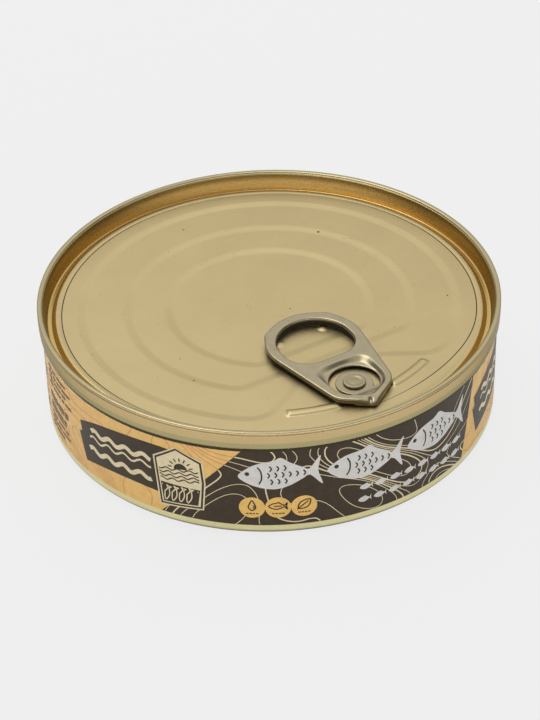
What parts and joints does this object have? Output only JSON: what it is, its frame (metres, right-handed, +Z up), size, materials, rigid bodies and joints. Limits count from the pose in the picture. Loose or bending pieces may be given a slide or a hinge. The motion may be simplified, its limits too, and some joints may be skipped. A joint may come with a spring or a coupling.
{
  "type": "tin of sprats",
  "caption": "Flat round fish tin: drawn body with a printed band, gold easy-open lid with a double seam, and a riveted ring-pull tab.",
  "frame": {"origin": "centre of the base, on the surface the tin stands on", "axes": "+Z up along the tin's axis, -Y towards the nose of the pull tab, +X to its right"},
  "size_m": [0.1023, 0.1022, 0.0277],
  "materials": {
    "printed_wall": "litho-printed tinplate, satin varnish, bare pale gold at the foot",
    "lid_lacquer": "gold-lacquered tinplate, satin",
    "tab_steel": "bare tinplate with a warm tone, satin"
  },
  "bodies": {
    "root": {"can_body": "printed_wall", "lid": "lid_lacquer", "pull_tab": "tab_steel"}
  },
  "joints": []
}
